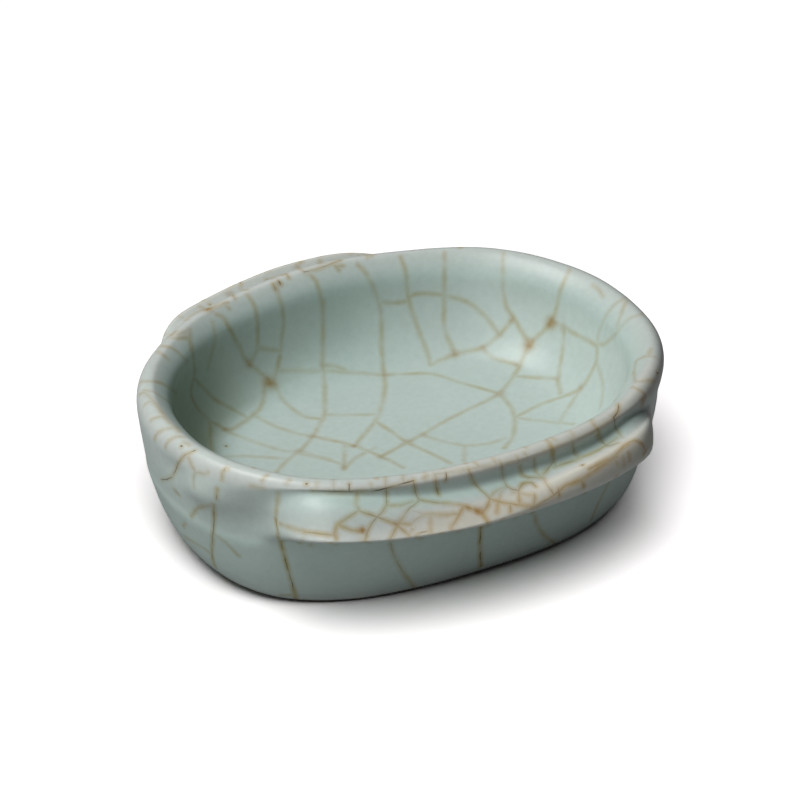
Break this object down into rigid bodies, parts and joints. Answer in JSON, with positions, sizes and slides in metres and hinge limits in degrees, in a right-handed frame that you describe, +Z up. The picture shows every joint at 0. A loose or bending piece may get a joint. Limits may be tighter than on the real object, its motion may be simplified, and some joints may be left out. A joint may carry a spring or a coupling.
{
  "type": "ink palette",
  "caption": "Oval ceramic ink palette: a shallow glazed hollow with a ledge-like ear along each long side, standing on a bare foot ring.",
  "frame": {"origin": "on the ground under the middle of the foot ring, which is the middle of the dish seen from above", "axes": "+X along the dish's long axis, +Y towards the back ear, +Z up out of the hollow"},
  "size_m": [0.1206, 0.11, 0.0375],
  "materials": {
    "celadon_glaze": "gloss",
    "stoneware": "matte",
    "bare_foot": "matte"
  },
  "bodies": {
    "root": {"dish_body": "stoneware", "front_ear": "stoneware", "back_ear": "stoneware", "foot_ring": "bare_foot", "lining_glaze": "celadon_glaze", "outer_glaze": "celadon_glaze", "base_glaze": "celadon_glaze"}
  },
  "joints": []
}
